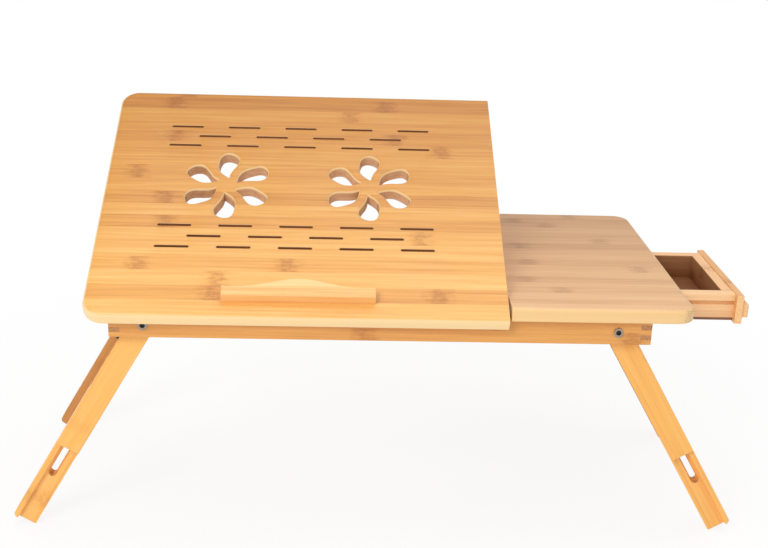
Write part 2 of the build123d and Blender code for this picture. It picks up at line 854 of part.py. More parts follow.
with BuildPart() as corner_nut:
    with BuildSketch(outer_plane.offset(nut_start)):
        RegularPolygon(nut_width / 2, 6, major_radius=False)
        Circle(bolt_diameter / 2 + glue_fit, mode=Mode.SUBTRACT)
    extrude(amount=nut_height)

for name, fastener in (("pivot_bolts", corner_bolt), ("pivot_nuts", corner_nut)):
    with BuildPart() as fasteners:
        front_left = add(fastener.part)
        front_right = mirror(fastener.part, about=side_mirror)
        mirror(fastener.part, about=row_mirror)
        mirror(front_right, about=row_mirror)
    finish(fasteners, name)
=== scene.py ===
import json
import math
import bmesh
import bpy
import numpy as np
from mathutils import Matrix, Vector
from mathutils.geometry import delaunay_2d_cdt


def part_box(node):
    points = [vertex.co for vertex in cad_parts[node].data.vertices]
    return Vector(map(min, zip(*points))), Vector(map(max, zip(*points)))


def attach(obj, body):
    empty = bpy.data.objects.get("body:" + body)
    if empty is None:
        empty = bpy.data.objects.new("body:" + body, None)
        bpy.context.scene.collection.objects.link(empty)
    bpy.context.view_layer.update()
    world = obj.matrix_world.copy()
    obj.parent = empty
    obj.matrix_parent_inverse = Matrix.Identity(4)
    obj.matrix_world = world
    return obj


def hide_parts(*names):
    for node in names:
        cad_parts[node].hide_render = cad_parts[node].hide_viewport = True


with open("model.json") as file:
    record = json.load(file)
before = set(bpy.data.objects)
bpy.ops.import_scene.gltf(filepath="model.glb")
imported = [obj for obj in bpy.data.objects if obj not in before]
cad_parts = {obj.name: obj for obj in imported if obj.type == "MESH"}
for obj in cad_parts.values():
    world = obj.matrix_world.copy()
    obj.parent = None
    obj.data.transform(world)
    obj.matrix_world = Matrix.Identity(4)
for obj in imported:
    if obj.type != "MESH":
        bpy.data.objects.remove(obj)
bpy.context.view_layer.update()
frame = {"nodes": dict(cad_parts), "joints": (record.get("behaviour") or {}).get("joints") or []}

jointPlace = {joint["name"]: joint.get("pos_m") for joint in frame["joints"]}
print("frame loaded:", len(frame["nodes"]), "nodes")


def toLinear(hexColor):
    # an sRGB hex colour as the linear values that the shader reads
    parts = [int(hexColor[i:i + 2], 16) / 255 for i in (1, 3, 5)]
    return tuple(c / 12.92 if c <= 0.04045 else ((c + 0.055) / 1.055) ** 2.4 for c in parts) + (1.0,)


def addNode(tree, kind, settings=None, inputs=None):
    # a node with its settings; an input is a plain value, another node's output,
    # or a node, which stands for its first output in use
    node = tree.nodes.new(kind)
    for name, value in (settings or {}).items():
        setattr(node, name, value)
    for key, value in (inputs or {}).items():
        if isinstance(value, bpy.types.Node):
            value = next(output for output in value.outputs if output.enabled)
        if isinstance(value, bpy.types.NodeSocket):
            tree.links.new(value, node.inputs[key])
        else:
            node.inputs[key].default_value = value
    return node


def newMaterial(name):
    material = bpy.data.materials.new(name)
    material.use_nodes = True
    material.node_tree.nodes.clear()
    return material, material.node_tree


def boardTurn(grain, across):
    # the turn of a board's own frame: X along the grain, Y across the face
    x = Vector(grain).normalized()
    z = x.cross(Vector(across)).normalized()
    return Matrix((x, z.cross(x), z)).transposed().to_euler()


bambooLook = {
    "pale": "#FBC880", "middle": "#E6A458", "dark": "#C57F3A", "knot": "#A35F28",
    # the edge colour is a painted highlight on rounded and cut edges
    "endPale": "#D2A470", "endDark": "#A07048", "edge": "#FFD994",
    # each pattern's length and width in mm, then its detail and roughness; real fibres are
    # 0.3 mm wide, too fine to show, so they are drawn coarser
    "patterns": {"fibre": (110.0, 2.4, 4.0, 0.6), "streak": (190.0, 6.0, 3.0, 0.55),
                 "mottle": (7.0, 3.2, 3.0, 0.65), "wander": (9.0, 5.0, 2.0, 0.5)},
    "stripShift": 913.0,    # mm along the grain between the patterns of the darkest and the palest strip
    "toneSwing": 0.26, "fibreSwing": 0.34, "streakSwing": 0.30, "knotSwing": 0.34,
    # growth nodes, in mm along the grain: how far apart they grow, where the band and the stain
    # beside it start and end to fade, and how far they wander off the straight line
    "knotPitch": 230.0, "knotGap": (210.0, 290.0),
    "knotCore": 0.8, "knotHalf": 9.0, "haloCore": 3.0, "haloHalf": 17.0, "knotWander": 26.0,
    "knotReach": 2.2,    # board lengths that a full colour channel stands for
    "toneReach": 0.7, "firstKnot": (0.05, 0.95),    # what a loose strip's tone and first node are drawn from
    "mottleFrom": 0.36, "mottleTo": 0.66, "knotLeast": 0.05, "knotShare": 0.44,
    # how far a face leans before the painted edge highlight starts and is full, and its share
    "edgeHighlightFrom": 0.55, "edgeHighlightTo": 0.97, "edgeHighlightShare": 0.55,
    "endFrom": 0.80, "endTo": 0.97,
    "speckPitch": 1.3, "speckCore": 0.18, "speckHalf": 0.55,    # the pitch in mm, then shares of it
    # where and how strongly the painted shade inside a box falls, and its share at the top
    "insideFrom": 0.5, "insideTo": 0.9, "insideTop": 0.72,
    "bump": 0.00006, "bumpStrength": 0.35, "fibreLow": 0.3, "fibreHigh": 0.7,
    "roughness": 0.40, "duller": 0.05, "shinier": 0.04, "ior": 1.5, "coat": 0.12, "coatRoughness": 0.28,
}


# bamboo strips pressed side by side: each row is its start across the board in mm,
# its tone from -1 dark to 1 pale, and the places of two growth nodes along it in mm
def looseStrips(width, stripWidth, length, seed):
    draw = np.random.RandomState(seed)
    count = max(1, int(round(width / stripWidth)))
    starts = np.arange(count) * width / count
    tones = draw.uniform(-bambooLook["toneReach"], bambooLook["toneReach"], count)
    first = draw.uniform(*bambooLook["firstKnot"], count) * max(length, bambooLook["knotPitch"])
    second = first + draw.uniform(*bambooLook["knotGap"], count)
    return list(zip(starts, tones, first, second))


def bambooMaterial(name, origin, grain, across, strips, span, changes=None):
    # satin-lacquered pressed bamboo: straight pale strips with fine streaks along them, a browner band at
    # each growth node, darker speckled end grain, and a soft sheen from the lacquer; where a look asks,
    # painted shade towards a top's back and inside a box, and a painted highlight on rounded edges
    look = dict(bambooLook, **(changes or {}))
    width, length = span
    smooth = {"interpolation_type": "SMOOTHSTEP"}
    mixed = {"data_type": "RGBA"}
    tinted = {"data_type": "RGBA", "blend_type": "MULTIPLY"}
    material, tree = newMaterial(name)
    place = addNode(tree, "ShaderNodeTexCoord")
    inBoard = addNode(tree, "ShaderNodeMapping", {"vector_type": "TEXTURE"}, {
        "Vector": place.outputs["Object"], "Location": Vector(origin),
        "Rotation": boardTurn(grain, across), "Scale": (0.001, 0.001, 0.001)})
    axes = addNode(tree, "ShaderNodeSeparateXYZ", None, {"Vector": inBoard})

    # the strip layout: red is the tone, green and blue are the two growth nodes
    sideways = addNode(tree, "ShaderNodeMath", {"operation": "DIVIDE"}, {0: axes.outputs["Y"], 1: width})
    layout = addNode(tree, "ShaderNodeValToRGB", None, {"Fac": sideways})
    ramp = layout.color_ramp
    ramp.interpolation = "CONSTANT"
    reach = max(length, look["knotPitch"]) * look["knotReach"]
    for i, (start, stripTone, knotA, knotB) in enumerate(strips):
        stop = ramp.elements.new(start / width) if i else ramp.elements[0]
        stop.color = (0.5 + stripTone / 2, knotA / reach, knotB / reach, 1)
    ramp.elements.remove(ramp.elements[-1])
    rows = addNode(tree, "ShaderNodeSeparateColor", None, {"Color": layout})
    tone = rows.outputs["Red"]

    # noises drawn out along the grain, shifted from strip to strip
    shift = addNode(tree, "ShaderNodeMath", {"operation": "MULTIPLY"}, {0: tone, 1: look["stripShift"]})
    shiftAlong = addNode(tree, "ShaderNodeCombineXYZ", None, {"X": shift})
    shifted = addNode(tree, "ShaderNodeVectorMath", {"operation": "ADD"}, {0: inBoard, 1: shiftAlong})
    noise = {}
    for kind, (along, wide, detail, roughness) in look["patterns"].items():
        scaled = addNode(tree, "ShaderNodeVectorMath", {"operation": "MULTIPLY"}, {
            0: shifted, 1: (1 / along, 1 / wide, 1 / wide)})
        noise[kind] = addNode(tree, "ShaderNodeTexNoise", None, {
            "Vector": scaled, "Scale": 1.0, "Detail": detail, "Roughness": roughness})

    # growth nodes: a narrow brown band across the strip with a softer stain beside it
    wave = addNode(tree, "ShaderNodeMath", {"operation": "SUBTRACT"}, {0: noise["wander"], 1: 0.5})
    bands, stains = [], []
    for channel in ("Green", "Blue"):
        middle = addNode(tree, "ShaderNodeMath", {"operation": "MULTIPLY"}, {
            0: rows.outputs[channel], 1: reach})
        off = addNode(tree, "ShaderNodeMath", {"operation": "SUBTRACT"}, {0: axes.outputs["X"], 1: middle})
        bent = addNode(tree, "ShaderNodeMath", {"operation": "MULTIPLY_ADD"}, {
            0: wave, 1: look["knotWander"], 2: off})
        away = addNode(tree, "ShaderNodeMath", {"operation": "ABSOLUTE"}, {0: bent})
        for fades, core, half in ((bands, "knotCore", "knotHalf"), (stains, "haloCore", "haloHalf")):
            fades.append(addNode(tree, "ShaderNodeMapRange", smooth, {
                "Value": away, "From Min": look[core], "From Max": look[half], "To Min": 1.0, "To Max": 0.0}))
    band = addNode(tree, "ShaderNodeMath", {"operation": "MAXIMUM"}, dict(enumerate(bands)))
    stain = addNode(tree, "ShaderNodeMath", {"operation": "MAXIMUM"}, dict(enumerate(stains)))

    # one number from dark to pale
    shade = 0.5
    swings = ((tone, "toneSwing"), (noise["fibre"], "fibreSwing"), (noise["streak"], "streakSwing"))
    for value, swing in swings:
        centred = addNode(tree, "ShaderNodeMath", {"operation": "SUBTRACT"}, {0: value, 1: 0.5})
        shade = addNode(tree, "ShaderNodeMath", {"operation": "MULTIPLY_ADD"}, {
            0: centred, 1: 2 * look[swing], 2: shade})
    stainShare = addNode(tree, "ShaderNodeMath", {"operation": "MULTIPLY"}, {0: stain, 1: noise["streak"]})
    stainDepth = addNode(tree, "ShaderNodeMath", {"operation": "MULTIPLY"}, {
        0: stainShare, 1: look["knotSwing"]})
    shade = addNode(tree, "ShaderNodeMath", {"operation": "SUBTRACT", "use_clamp": True}, {
        0: shade, 1: stainDepth})
    wood = addNode(tree, "ShaderNodeValToRGB", None, {"Fac": shade})
    wood.color_ramp.elements[0].color = toLinear(look["dark"])
    wood.color_ramp.elements[1].color = toLinear(look["pale"])
    wood.color_ramp.elements.new(0.5).color = toLinear(look["middle"])
    mottling = addNode(tree, "ShaderNodeMapRange", smooth, {
        "Value": noise["mottle"], "From Min": look["mottleFrom"], "From Max": look["mottleTo"],
        "To Min": look["knotLeast"], "To Max": look["knotShare"]})
    knotShare = addNode(tree, "ShaderNodeMath", {"operation": "MULTIPLY"}, {0: band, 1: mottling})
    color = addNode(tree, "ShaderNodeMix", mixed, {
        "Factor": knotShare, "A": wood, "B": toLinear(look["knot"])})

    # painted shade: a slow change of tone across a top, front to back, greying it towards the back where less
    # light falls
    if "paintedBackShade" in look:
        backShade = addNode(tree, "ShaderNodeMapRange", None, {
            "Value": axes.outputs["Y"], "From Min": look["backShadeFrom"], "From Max": look["backShadeTo"]})
        color = addNode(tree, "ShaderNodeMix", tinted, {
            "Factor": backShade, "A": color, "B": toLinear(look["paintedBackShade"])})

    # painted highlight: rounded and cut edges along the grain, leaning away from up, are painted paler as if
    # catching the light
    if "up" in look:
        upward = addNode(tree, "ShaderNodeVectorMath", {"operation": "DOT_PRODUCT"}, {
            0: place.outputs["Normal"], 1: Vector(look["up"])})
        lean = addNode(tree, "ShaderNodeMath", {"operation": "ABSOLUTE"}, {0: upward})
        rim = addNode(tree, "ShaderNodeMapRange", smooth, {
            "Value": lean, "From Min": look["edgeHighlightFrom"], "From Max": look["edgeHighlightTo"],
            "To Min": look["edgeHighlightShare"], "To Max": 0.0})
        color = addNode(tree, "ShaderNodeMix", mixed, {
            "Factor": rim, "A": color, "B": toLinear(look["edge"])})

    # end grain: brown with the dark specks of the fibre bundles
    facing = addNode(tree, "ShaderNodeVectorMath", {"operation": "DOT_PRODUCT"}, {
        0: place.outputs["Normal"], 1: Vector(grain).normalized()})
    square = addNode(tree, "ShaderNodeMath", {"operation": "ABSOLUTE"}, {0: facing})
    endShare = addNode(tree, "ShaderNodeMapRange", smooth, {
        "Value": square, "From Min": look["endFrom"], "From Max": look["endTo"]})
    specks = addNode(tree, "ShaderNodeTexVoronoi", None, {"Vector": inBoard, "Scale": 1 / look["speckPitch"]})
    speckShare = addNode(tree, "ShaderNodeMapRange", smooth, {
        "Value": specks, "From Min": look["speckCore"], "From Max": look["speckHalf"],
        "To Min": 1.0, "To Max": 0.0})
    endColor = addNode(tree, "ShaderNodeMix", mixed, {
        "Factor": speckShare, "A": toLinear(look["endPale"]), "B": toLinear(look["endDark"])})
    color = addNode(tree, "ShaderNodeMix", mixed, {"Factor": endShare, "A": color, "B": endColor})

    # painted shade: the inner side of a box wall is painted browner and darker than its outside, most of all
    # low down, where shade falls in the box
    if "inside" in look:
        inward = addNode(tree, "ShaderNodeVectorMath", {"operation": "DOT_PRODUCT"}, {
            0: place.outputs["Normal"], 1: look["inside"]})
        inner = addNode(tree, "ShaderNodeMapRange", smooth, {
            "Value": inward, "From Min": look["insideFrom"], "From Max": look["insideTo"]})
        lowerShade = addNode(tree, "ShaderNodeMapRange", smooth, {
            "Value": axes.outputs["Y"], "From Min": 0.0, "From Max": width,
            "To Min": 1.0, "To Max": look["insideTop"]})
        depth = addNode(tree, "ShaderNodeMath", {"operation": "MULTIPLY"}, {0: inner, 1: lowerShade})
        color = addNode(tree, "ShaderNodeMix", tinted, {
            "Factor": depth, "A": color, "B": toLinear(look["insideTint"])})

    relief = addNode(tree, "ShaderNodeBump", None, {
        "Strength": look["bumpStrength"], "Distance": look["bump"], "Height": noise["fibre"]})
    gloss = addNode(tree, "ShaderNodeMapRange", smooth, {
        "Value": noise["fibre"], "From Min": look["fibreLow"], "From Max": look["fibreHigh"],
        "To Min": look["roughness"] + look["duller"], "To Max": look["roughness"] - look["shinier"]})
    shader = addNode(tree, "ShaderNodeBsdfPrincipled", None, {
        "Base Color": color, "Roughness": gloss, "IOR": look["ior"], "Normal": relief,
        "Coat Weight": look["coat"], "Coat Roughness": look["coatRoughness"]})
    addNode(tree, "ShaderNodeOutputMaterial", None, {"Surface": shader})
    return material


def dress(node, material):
    slots = frame["nodes"][node].data.materials
    slots.clear()
    slots.append(material)


def dressBoard(board, grain, across, seed, stripWidth, look):
    # a straight board, whose box gives its width and length
    low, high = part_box(board)
    size = (Vector(high) - Vector(low)) * 1000
    span = (abs(size.dot(Vector(across))), abs(size.dot(Vector(grain))))
    strips = looseStrips(span[0], stripWidth, span[1], seed)
    dress(board, bambooMaterial("lacqueredBamboo." + board, low, grain, across, strips, span, look))


# tilting top, in mm: 18 strips along the stand, growth nodes where the pressed strips show them;
# a growth node at 900 lies past the end of the strip, so there is none
tilt = math.radians(29.5)
panelUp = (0, -math.sin(tilt), math.cos(tilt))
panelSlope = (0, math.cos(tilt), math.sin(tilt))
tiltPanel = {
    "width": 380.0, "depth": 300.0, "thickness": 12.7, "corner": 18.0, "topRound": 4.5, "underRound": 1.5,
    "hingeIn": 17.0, "hingeDown": 16.0,    # from the front edge and the top face to the hinge axis
    "patternX": 186.0, "patternY": 165.4, "flowerSpacing": 138.4,
    "petals": 6, "petalTurn": 30.0, "petalTip": 10.5, "petalLength": 33.2, "petalHalf": 12.2, "petalRim": 2.5,
    "petalAside": 0.9, "petalSwing": 1.5, "petalHook": 2.4, "hookPower": 6,
    "slotLength": 32.0, "slotWidth": 3.0, "slotPitch": 57.1, "slotRows": (5, 4, 5), "slotRow": 13.6,
    "slotGroup": 68.4, "slotRim": 0.4,
    # a cut's sanded edge: out from the cut and up to the top face, as shares of its rim
    "sandedEdge": [(0, -1.0), (0.12, -0.55), (0.42, -0.18), (1.0, 0.0)],
    "hinges": (95.0, 320.0), "leafLength": 30.0, "leafFrom": 16.4, "leafTo": 30.0, "leafDepth": 1.2,
    "cornerPoints": 13, "roundPoints": 9, "petalPoints": 72, "slotPoints": 20, "sharpAngle": 40.0,
    "strips": [
        (0, 0.35, 900, 900), (18, -0.55, 113, 318), (36, 0.50, 117, 900), (53, -0.10, 43, 180),
        (70, 0.40, 900, 900), (89, 0.25, 303, 900), (106, -0.50, 63, 900), (122, 0.25, 900, 900),
        (138, -0.65, 60, 900), (154, 0.00, 900, 900), (172, -0.25, 29, 900), (190, 0.10, 900, 900),
        (207, -0.10, 328, 900), (225, -0.35, 62, 281), (241, -0.15, 900, 900), (257, 0.35, 236, 900),
        (274, -0.60, 55, 272), (291, -0.30, 69, 900)],
    "look": {"pale": "#FFD486", "middle": "#F1B05C", "dark": "#C88038",
             # the tint towards the back is painted shade, where less light falls
             "paintedBackShade": "#D5C49C", "backShadeFrom": 30.0, "backShadeTo": 290.0,
             # a stronger painted highlight on the panel's rounded edges and cut rims
             "edge": "#FFE0A8", "edgeHighlightShare": 0.85, "up": panelUp},
    "cutStripWidth": 6.3, "cutSeed": 5,
    "cutLook": {"pale": "#FBD6AE", "middle": "#E6B68C", "dark": "#B9865C", "knot": "#A06C46",
                "endPale": "#CFA078", "endDark": "#8A5C3A", "coat": 0.0, "roughness": 0.6},
    # the narrow slot walls' darker colours are painted shade
    "paintedSlotShade": {"pale": "#CF9A6C", "middle": "#A87048", "dark": "#7C4A2A"},
}
panelHinge = Vector((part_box("tilt_panel")[0][0], jointPlace["top_tilt"][1], jointPlace["top_tilt"][2]))
panelFront = (panelHinge - Vector(panelSlope) * tiltPanel["hingeIn"] / 1000
              + Vector(panelUp) * tiltPanel["hingeDown"] / 1000)


def petalOutline(t):
    # a teardrop on a bent middle line, run counter-clockwise: with u from 0 at the tail to 1 outside,
    # the half width is petalHalf * 2 * sqrt(u * (1 - u)) * sqrt(u), and the middle line swings one
    # sine wave and hooks back at the tail, so one side is full and the other hollow
    angle = 2 * np.pi * t
    u = (1 - np.cos(angle)) / 2
    swing = tiltPanel["petalSwing"] * np.sin(2 * np.pi * u)
    middle = tiltPanel["petalAside"] + swing - tiltPanel["petalHook"] * (1 - u) ** tiltPanel["hookPower"]
    half = tiltPanel["petalHalf"] * np.sin(angle) * np.sqrt(u)
    return np.stack([tiltPanel["petalTip"] + tiltPanel["petalLength"] * u, middle - half], axis=1)


def slotOutline(t):
    # two half circles joined by straight runs, run counter-clockwise
    angle = 2 * np.pi * t
    radius = tiltPanel["slotWidth"] / 2
    run = tiltPanel["slotLength"] / 2 - radius
    return np.stack([np.sign(np.cos(angle)) * run + radius * np.cos(angle), radius * np.sin(angle)], axis=1)


def turnedTo(points, degrees, centre):
    c, s = math.cos(math.radians(degrees)), math.sin(math.radians(degrees))
    return points @ np.array([[c, s], [-s, c]]) + np.array(centre)


def awayFrom(loop):
    # unit vectors square to a closed loop that runs counter-clockwise, pointing out of it
    along = np.roll(loop, -1, axis=0) - np.roll(loop, 1, axis=0)
    out = np.stack([along[:, 1], -along[:, 0]], axis=1)
    return out / np.linalg.norm(out, axis=1, keepdims=True)


def carried(loop, push, profile):
    # a profile of (offset, height) rows carried along a loop: one ring of points per row
    rings = loop[None] + push[None] * profile[:, None, :1]
    return np.concatenate([rings, np.broadcast_to(profile[:, None, 1:], rings.shape[:2] + (1,))], axis=2)


def ringFaces(start, rows, count, closed):
    # quads between neighbouring rings
    across = count if closed else count - 1
    r, c = np.meshgrid(np.arange(rows - 1), np.arange(across), indexing="ij")
    a, b = start + r * count + c, start + r * count + (c + 1) % count
    return np.stack([a, b, b + count, a + count], axis=2).reshape(-1, 4)


def filled(rings):
    # triangles over an outer ring and the counter-clockwise rings cut out of it; a triangle lies in a
    # hole where its corners, in the hole's own order, run counter-clockwise
    sizes = np.array([len(ring) for ring in rings])
    starts = np.cumsum(sizes) - sizes
    points = np.concatenate(rings)
    owner = np.repeat(np.arange(len(rings)), sizes)
    here = np.arange(len(points))
    ahead = np.where(here + 1 == (starts + sizes)[owner], starts[owner], here + 1)
    edges = np.stack([here, ahead], axis=1)
    insideOnly, tolerance = 1, 1e-5
    found = delaunay_2d_cdt(points.tolist(), edges.tolist(), [], insideOnly, tolerance)
    faces = np.array([ids[0] for ids in found[3]])[np.array(found[2])]
    ring = owner[faces]
    first, second, third = points[np.sort(faces, axis=1)].transpose(1, 0, 2)
    turn = (second - first)[:, 0] * (third - first)[:, 1] - (second - first)[:, 1] * (third - first)[:, 0]
    inHole = (ring.min(axis=1) == ring.max(axis=1)) & (ring[:, 0] > 0) & (turn > 0)
    return faces[~inHole]


def panelHoles(panel):
    # the loops of the cuts, each with the size of its sanded rim and the material slot of its wall
    holes = []
    flower = np.arange(panel["petalPoints"]) / panel["petalPoints"]
    for side in (-1, 1):
        centre = (panel["patternX"] + side * panel["flowerSpacing"] / 2, panel["patternY"])
        for k in range(panel["petals"]):
            degrees = panel["petalTurn"] + 360 * k / panel["petals"]
            holes.append((turnedTo(petalOutline(flower), degrees, centre), panel["petalRim"], 1))
    oval = (np.arange(panel["slotPoints"]) + 0.5) / panel["slotPoints"]
    middleRow = (len(panel["slotRows"]) - 1) / 2
    for group in (-1, 1):
        for row, slots in enumerate(panel["slotRows"]):
            y = panel["patternY"] + group * panel["slotGroup"] + (row - middleRow) * panel["slotRow"]
            for k in range(slots):
                x = panel["patternX"] + (k - (slots - 1) / 2) * panel["slotPitch"]
                holes.append((slotOutline(oval) + (x, y), panel["slotRim"], 2))
    return holes


def makeTiltPanel(name, panel):
    # rounded profiles carried round the outline and every cut, with the top and the underside filled in
    width, depth, low = panel["width"], panel["depth"], -panel["thickness"]
    # the outline runs from the seam round both left corners and back to the seam
    corner = panel["corner"]
    bend = np.linspace(0, np.pi / 2, panel["cornerPoints"])
    lower = np.stack([corner - corner * np.sin(bend), corner - corner * np.cos(bend)], axis=1)
    upper = np.stack([corner - corner * np.cos(bend), depth - corner + corner * np.sin(bend)], axis=1)
    rim = np.concatenate([[(width, 0)], lower, upper, [(width, depth)]])
    inward = np.concatenate([[(0, 1)], np.stack([np.sin(bend), np.cos(bend)], axis=1),
                             np.stack([np.cos(bend), -np.sin(bend)], axis=1), [(0, -1)]])
    t = np.linspace(0, np.pi / 2, panel["roundPoints"])
    under, top = panel["underRound"], panel["topRound"]
    profile = np.concatenate([
        np.stack([under * (1 - np.sin(t[::2])), low + under * (1 - np.cos(t[::2]))], axis=1),
        np.stack([top * (1 - np.cos(t)), -top + top * np.sin(t)], axis=1)])
    rows, count = len(profile), len(rim)
    points = [carried(rim, inward, profile).reshape(-1, 3)]
    faces = [ringFaces(0, rows, count, False)]
    kinds = [np.zeros(len(faces[0]), int)]
    # the flat end face at the seam, up one side of the profile and down the other
    plain = [[r * count for r in range(rows)] + [r * count + count - 1 for r in range(rows - 1, -1, -1)]]
    topRings = [(points[0][(rows - 1) * count:, :2], (rows - 1) * count)]
    lowRings = [(points[0][:count, :2], 0)]
    total = len(points[0])

    for loop, rimSize, wallKind in panelHoles(panel):
        cut = np.concatenate([[(0, low)], rimSize * np.array(panel["sandedEdge"])])
        rings = carried(loop, awayFrom(loop), cut)
        walls = ringFaces(total, len(cut), len(loop), True)
        points.append(rings.reshape(-1, 3))
        faces.append(walls)
        kinds.append(np.where(np.arange(len(walls)) < len(loop), wallKind, 0))
        topRings.append((rings[-1][:, :2], total + (len(cut) - 1) * len(loop)))
        lowRings.append((rings[0][:, :2], total))
        total += len(points[-1])
    # seats of the hinge leaves, let into the underside
    for x in panel["hinges"]:
        half = panel["leafLength"] / 2
        seat = np.array([(x - half, panel["leafFrom"]), (x + half, panel["leafFrom"]),
                         (x + half, panel["leafTo"]), (x - half, panel["leafTo"])])
        rings = carried(seat, seat * 0, np.array([(0, low), (0, low + panel["leafDepth"])]))
        points.append(rings.reshape(-1, 3))
        faces.append(ringFaces(total, 2, len(seat), True))
        kinds.append(np.ones(len(seat), int))
        plain.append([total + len(seat) + k for k in range(len(seat))])
        lowRings.append((seat, total))
        total += len(points[-1])
    for rings in (topRings, lowRings):
        index = np.concatenate([start + np.arange(len(ring)) for ring, start in rings])
        plain += index[filled([ring for ring, start in rings])].tolist()

    allPoints = np.concatenate(points) / 1000
    world = (np.array(panelFront) + allPoints[:, :1] * np.array((1.0, 0, 0))
             + allPoints[:, 1:2] * np.array(panelSlope) + allPoints[:, 2:] * np.array(panelUp))
    walls = np.concatenate(faces).tolist()
    mesh = bpy.data.meshes.new(name)
    mesh.from_pydata(world.tolist(), [], walls + plain)
    mesh.polygons.foreach_set("use_smooth", [True] * len(walls) + [False] * len(plain))
    mesh.polygons.foreach_set("material_index", np.concatenate(kinds).tolist() + [0] * len(plain))
    shape = bmesh.new()
    shape.from_mesh(mesh)
    bmesh.ops.recalc_face_normals(shape, faces=shape.faces)
    shape.to_mesh(mesh)
    shape.free()
    mesh.set_sharp_from_angle(angle=math.radians(panel["sharpAngle"]))
    panelObject = bpy.data.objects.new(name, mesh)
    bpy.context.scene.collection.objects.link(panelObject)
    return panelObject


tiltPanelPiece = makeTiltPanel("tiltPanelBoard", tiltPanel)
cutSpan = (tiltPanel["thickness"], tiltPanel["width"])
cutStrips = looseStrips(cutSpan[0], tiltPanel["cutStripWidth"], cutSpan[1], tiltPanel["cutSeed"])
tiltPanelPiece.data.materials.append(bambooMaterial(
    "lacqueredBambooTiltPanel", panelFront, (1, 0, 0), panelSlope, tiltPanel["strips"],
    (tiltPanel["depth"], tiltPanel["width"]), tiltPanel["look"]))
# sawn, unlacquered bamboo: paler and duller in the petals; browner in the narrow slots, where the darker
# colours are painted shade
for wallName, tones in (("sawnBambooPetalWalls", {}), ("sawnBambooSlotWallsShaded", tiltPanel["paintedSlotShade"])):
    tiltPanelPiece.data.materials.append(bambooMaterial(
        wallName, panelFront, (1, 0, 0), panelUp, cutStrips, cutSpan, dict(tiltPanel["cutLook"], **tones)))
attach(tiltPanelPiece, "tilt_top")
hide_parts("tilt_panel")
print("tilting top made")

# book ledge: an orange strip in front and a paler one behind it
bookLedge = {
    "strips": [(0, -0.15, 900, 900), (9.5, 0.55, 900, 900)],
    "span": (22.0, 138.0), "fromLeft": 122.5, "fromFront": 17.7,
    "look": {"pale": "#FFE0A4", "middle": "#FFC47C", "dark": "#E0903F"},
}
ledgeFoot = (panelFront + Vector((bookLedge["fromLeft"] / 1000, 0, 0))
             + Vector(panelSlope) * bookLedge["fromFront"] / 1000)
dress("book_ledge", bambooMaterial("lacqueredBambooLedge", ledgeFoot, (1, 0, 0), panelSlope,
                                   bookLedge["strips"], bookLedge["span"], bookLedge["look"]))

# fixed top: greyer and rosier strips, with painted shade greying it towards the back, which leaves it paler
# at the front
topLow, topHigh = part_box("fixed_top")
fixedTop = {
    "strips": [
        (0, 0.45, 900, 900), (13, -0.10, 900, 900), (27, 0.30, 900, 900), (42, -0.25, 52, 900),
        (57, 0.15, 900, 900), (70, -0.45, 24, 900), (86, 0.35, 900, 900), (103, 0.10, 140, 900),
        (120, -0.35, 32, 900), (138, 0.20, 900, 900), (155, -0.05, 900, 900), (172, -0.55, 30, 900),
        (190, 0.10, 118, 900), (208, -0.15, 900, 900), (226, 0.20, 900, 900), (245, -0.30, 70, 900),
        (262, -0.45, 36, 900), (280, 0.10, 100, 900)],
    "span": (300.0, 168.0),
    "look": {
        "pale": "#F8D19C", "middle": "#E9B682", "dark": "#C39060", "knot": "#94694A",
        "knotShare": 0.26, "knotSwing": 0.34, "endFrom": 0.25, "endTo": 0.45,
        "endPale": "#F0CA90", "endDark": "#CC9A62",
        # painted shade greys this top towards the back, and a painted highlight pales its rounded edges
        "paintedBackShade": "#DFDAD6", "backShadeFrom": 20.0, "backShadeTo": 300.0, "up": (0, 0, 1)},
}
dress("fixed_top", bambooMaterial("lacqueredBambooFixedTop", (topLow[0], topLow[1], topHigh[2]), (1, 0, 0),
                                  (0, 1, 0), fixedTop["strips"], fixedTop["span"], fixedTop["look"]))
print("tops dressed")

# frame boards: the grain's direction, the direction across and a seed for each
frameBoards = {
    "boards": {
        "front_apron": ((1, 0, 0), (0, 0, 1), 11), "rear_apron": ((1, 0, 0), (0, 0, 1), 12),
        "left_rail": ((0, 1, 0), (0, 0, 1), 13), "right_rail_front": ((0, 1, 0), (0, 0, 1), 14),
        "right_rail_rear": ((0, 1, 0), (0, 0, 1), 15), "cross_rail": ((0, 1, 0), (0, 0, 1), 16),
        "runner_front": ((1, 0, 0), (0, 0, 1), 17), "runner_rear": ((1, 0, 0), (0, 0, 1), 18),
        "rack_left": ((0, 1, 0), (0, 0, 1), 19), "rack_right": ((0, 1, 0), (0, 0, 1), 20)},
    "stripWidth": 12.0,
    "look": {"pale": "#FFCA80", "middle": "#EFAC5A", "dark": "#C97F38",
             "endPale": "#C48A54", "endDark": "#98653A", "knotShare": 0.40},
}
for board, (grain, across, seed) in frameBoards["boards"].items():
    dressBoard(board, grain, across, seed, frameBoards["stripWidth"], frameBoards["look"])

